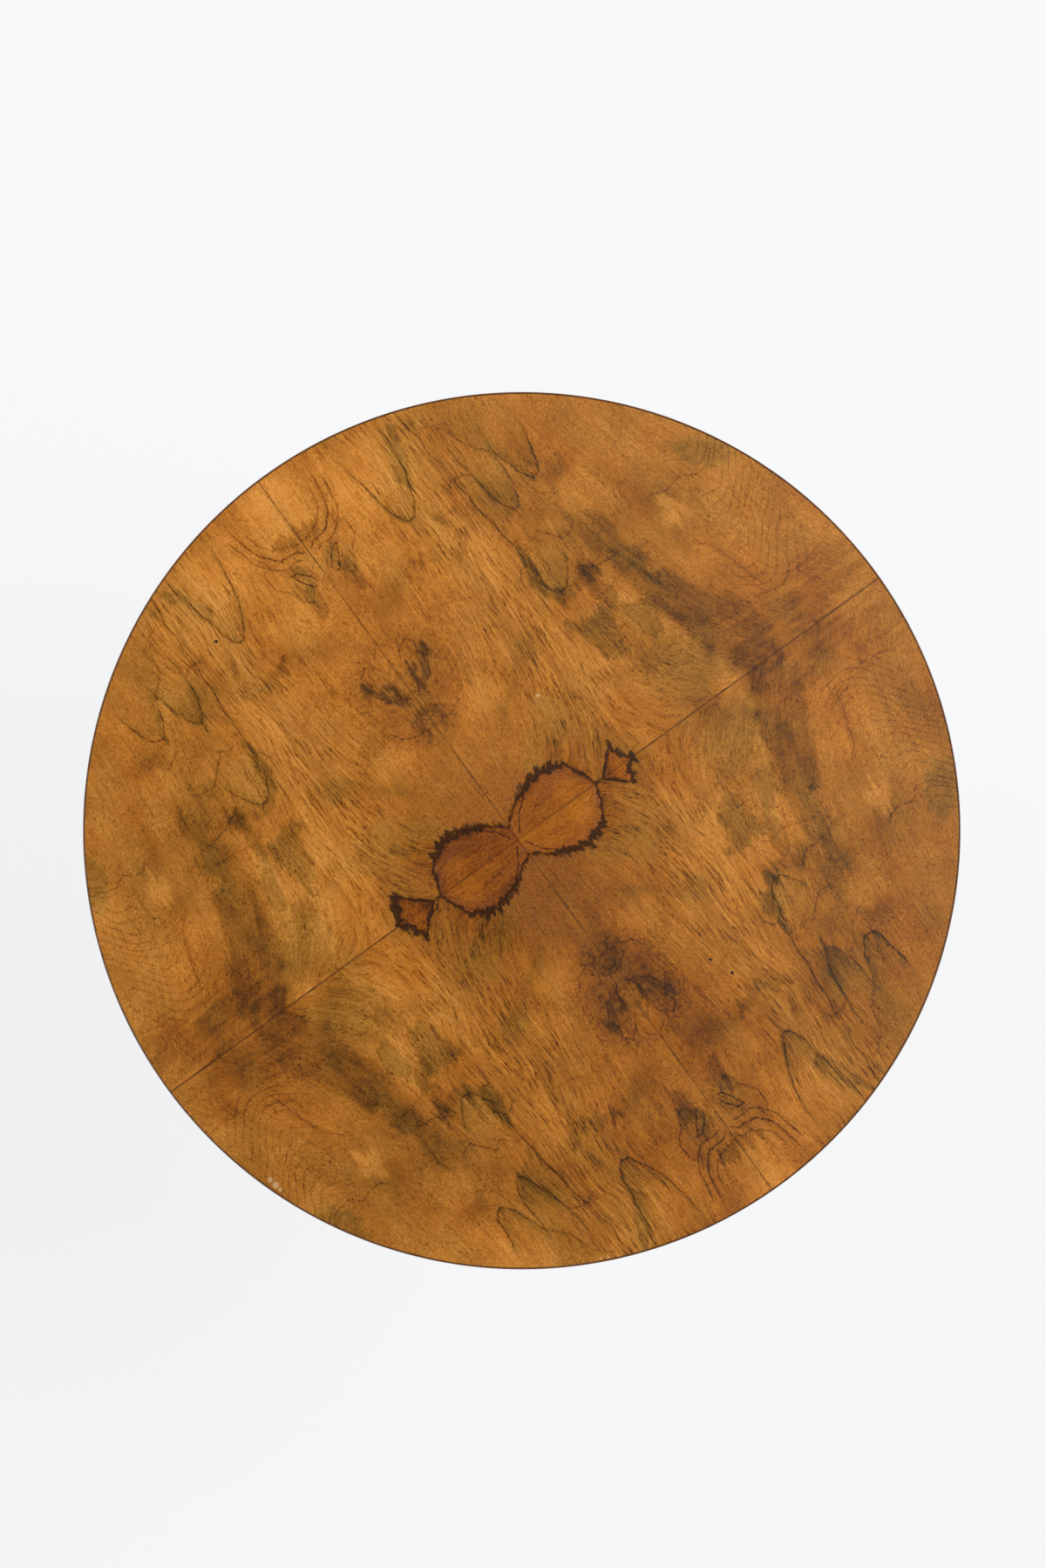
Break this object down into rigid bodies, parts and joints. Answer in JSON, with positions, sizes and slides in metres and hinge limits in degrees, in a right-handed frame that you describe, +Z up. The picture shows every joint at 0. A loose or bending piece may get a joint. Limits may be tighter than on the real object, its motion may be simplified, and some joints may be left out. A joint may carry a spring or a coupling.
{
  "type": "side table",
  "caption": "Round pedestal side table with a quarter-matched walnut veneer top on a tapered octagonal column and a round stepped base with bun feet.",
  "frame": {"origin": "on the floor, under the middle of the round top, level with the soles of the feet", "axes": "+Z up through the column; seen from above, +X runs to the right of the top and +Y to its upper side"},
  "size_m": [0.66, 0.66, 0.58],
  "materials": {
    "figured_walnut": "figured walnut veneer, shellac polish worn to a satin",
    "edge_walnut": "straight-grained walnut band, polished, darkened",
    "plain_walnut": "straight-grained walnut, satin polish",
    "ebonised_wood": "black-stained turned wood, polished",
    "spruce": "bare aged softwood",
    "beech": "bare planed beech",
    "aged_brass": "dulled brass",
    "dull_steel": "dull mild steel"
  },
  "bodies": {
    "root": {"veneer_leaf_north": "figured_walnut", "veneer_leaf_west": "figured_walnut", "veneer_leaf_south": "figured_walnut", "veneer_leaf_east": "figured_walnut", "edge_band": "edge_walnut", "core_board_1": "spruce", "core_board_2": "spruce", "core_board_3": "spruce", "core_board_4": "spruce", "core_board_5": "spruce", "backing_veneer": "spruce", "bearer_front": "beech", "bearer_back": "beech", "head_block": "plain_walnut", "bearer_screw_1": "aged_brass", "bearer_screw_2": "aged_brass", "bearer_screw_3": "aged_brass", "bearer_screw_4": "aged_brass", "bearer_screw_5": "aged_brass", "bearer_screw_6": "aged_brass", "head_screw_1": "aged_brass", "head_screw_2": "aged_brass", "head_screw_3": "aged_brass", "head_screw_4": "aged_brass", "capital": "ebonised_wood", "column_stave_1": "plain_walnut", "column_stave_2": "plain_walnut", "column_stave_3": "plain_walnut", "column_stave_4": "plain_walnut", "column_stave_5": "plain_walnut", "column_stave_6": "plain_walnut", "column_stave_7": "plain_walnut", "column_stave_8": "plain_walnut", "column_plug_low": "spruce", "column_plug_high": "spruce", "collar": "ebonised_wood", "tie_rod": "dull_steel", "washer_high": "dull_steel", "washer_low": "dull_steel", "nut_high": "dull_steel", "nut_low": "dull_steel", "dowel_1": "beech", "dowel_2": "beech", "base_step": "plain_walnut", "platform_core": "spruce", "platform_veneer": "plain_walnut", "platform_band": "plain_walnut", "bun_foot_1": "ebonised_wood", "bun_foot_2": "ebonised_wood", "bun_foot_3": "ebonised_wood", "bun_foot_4": "ebonised_wood"}
  },
  "joints": []
}
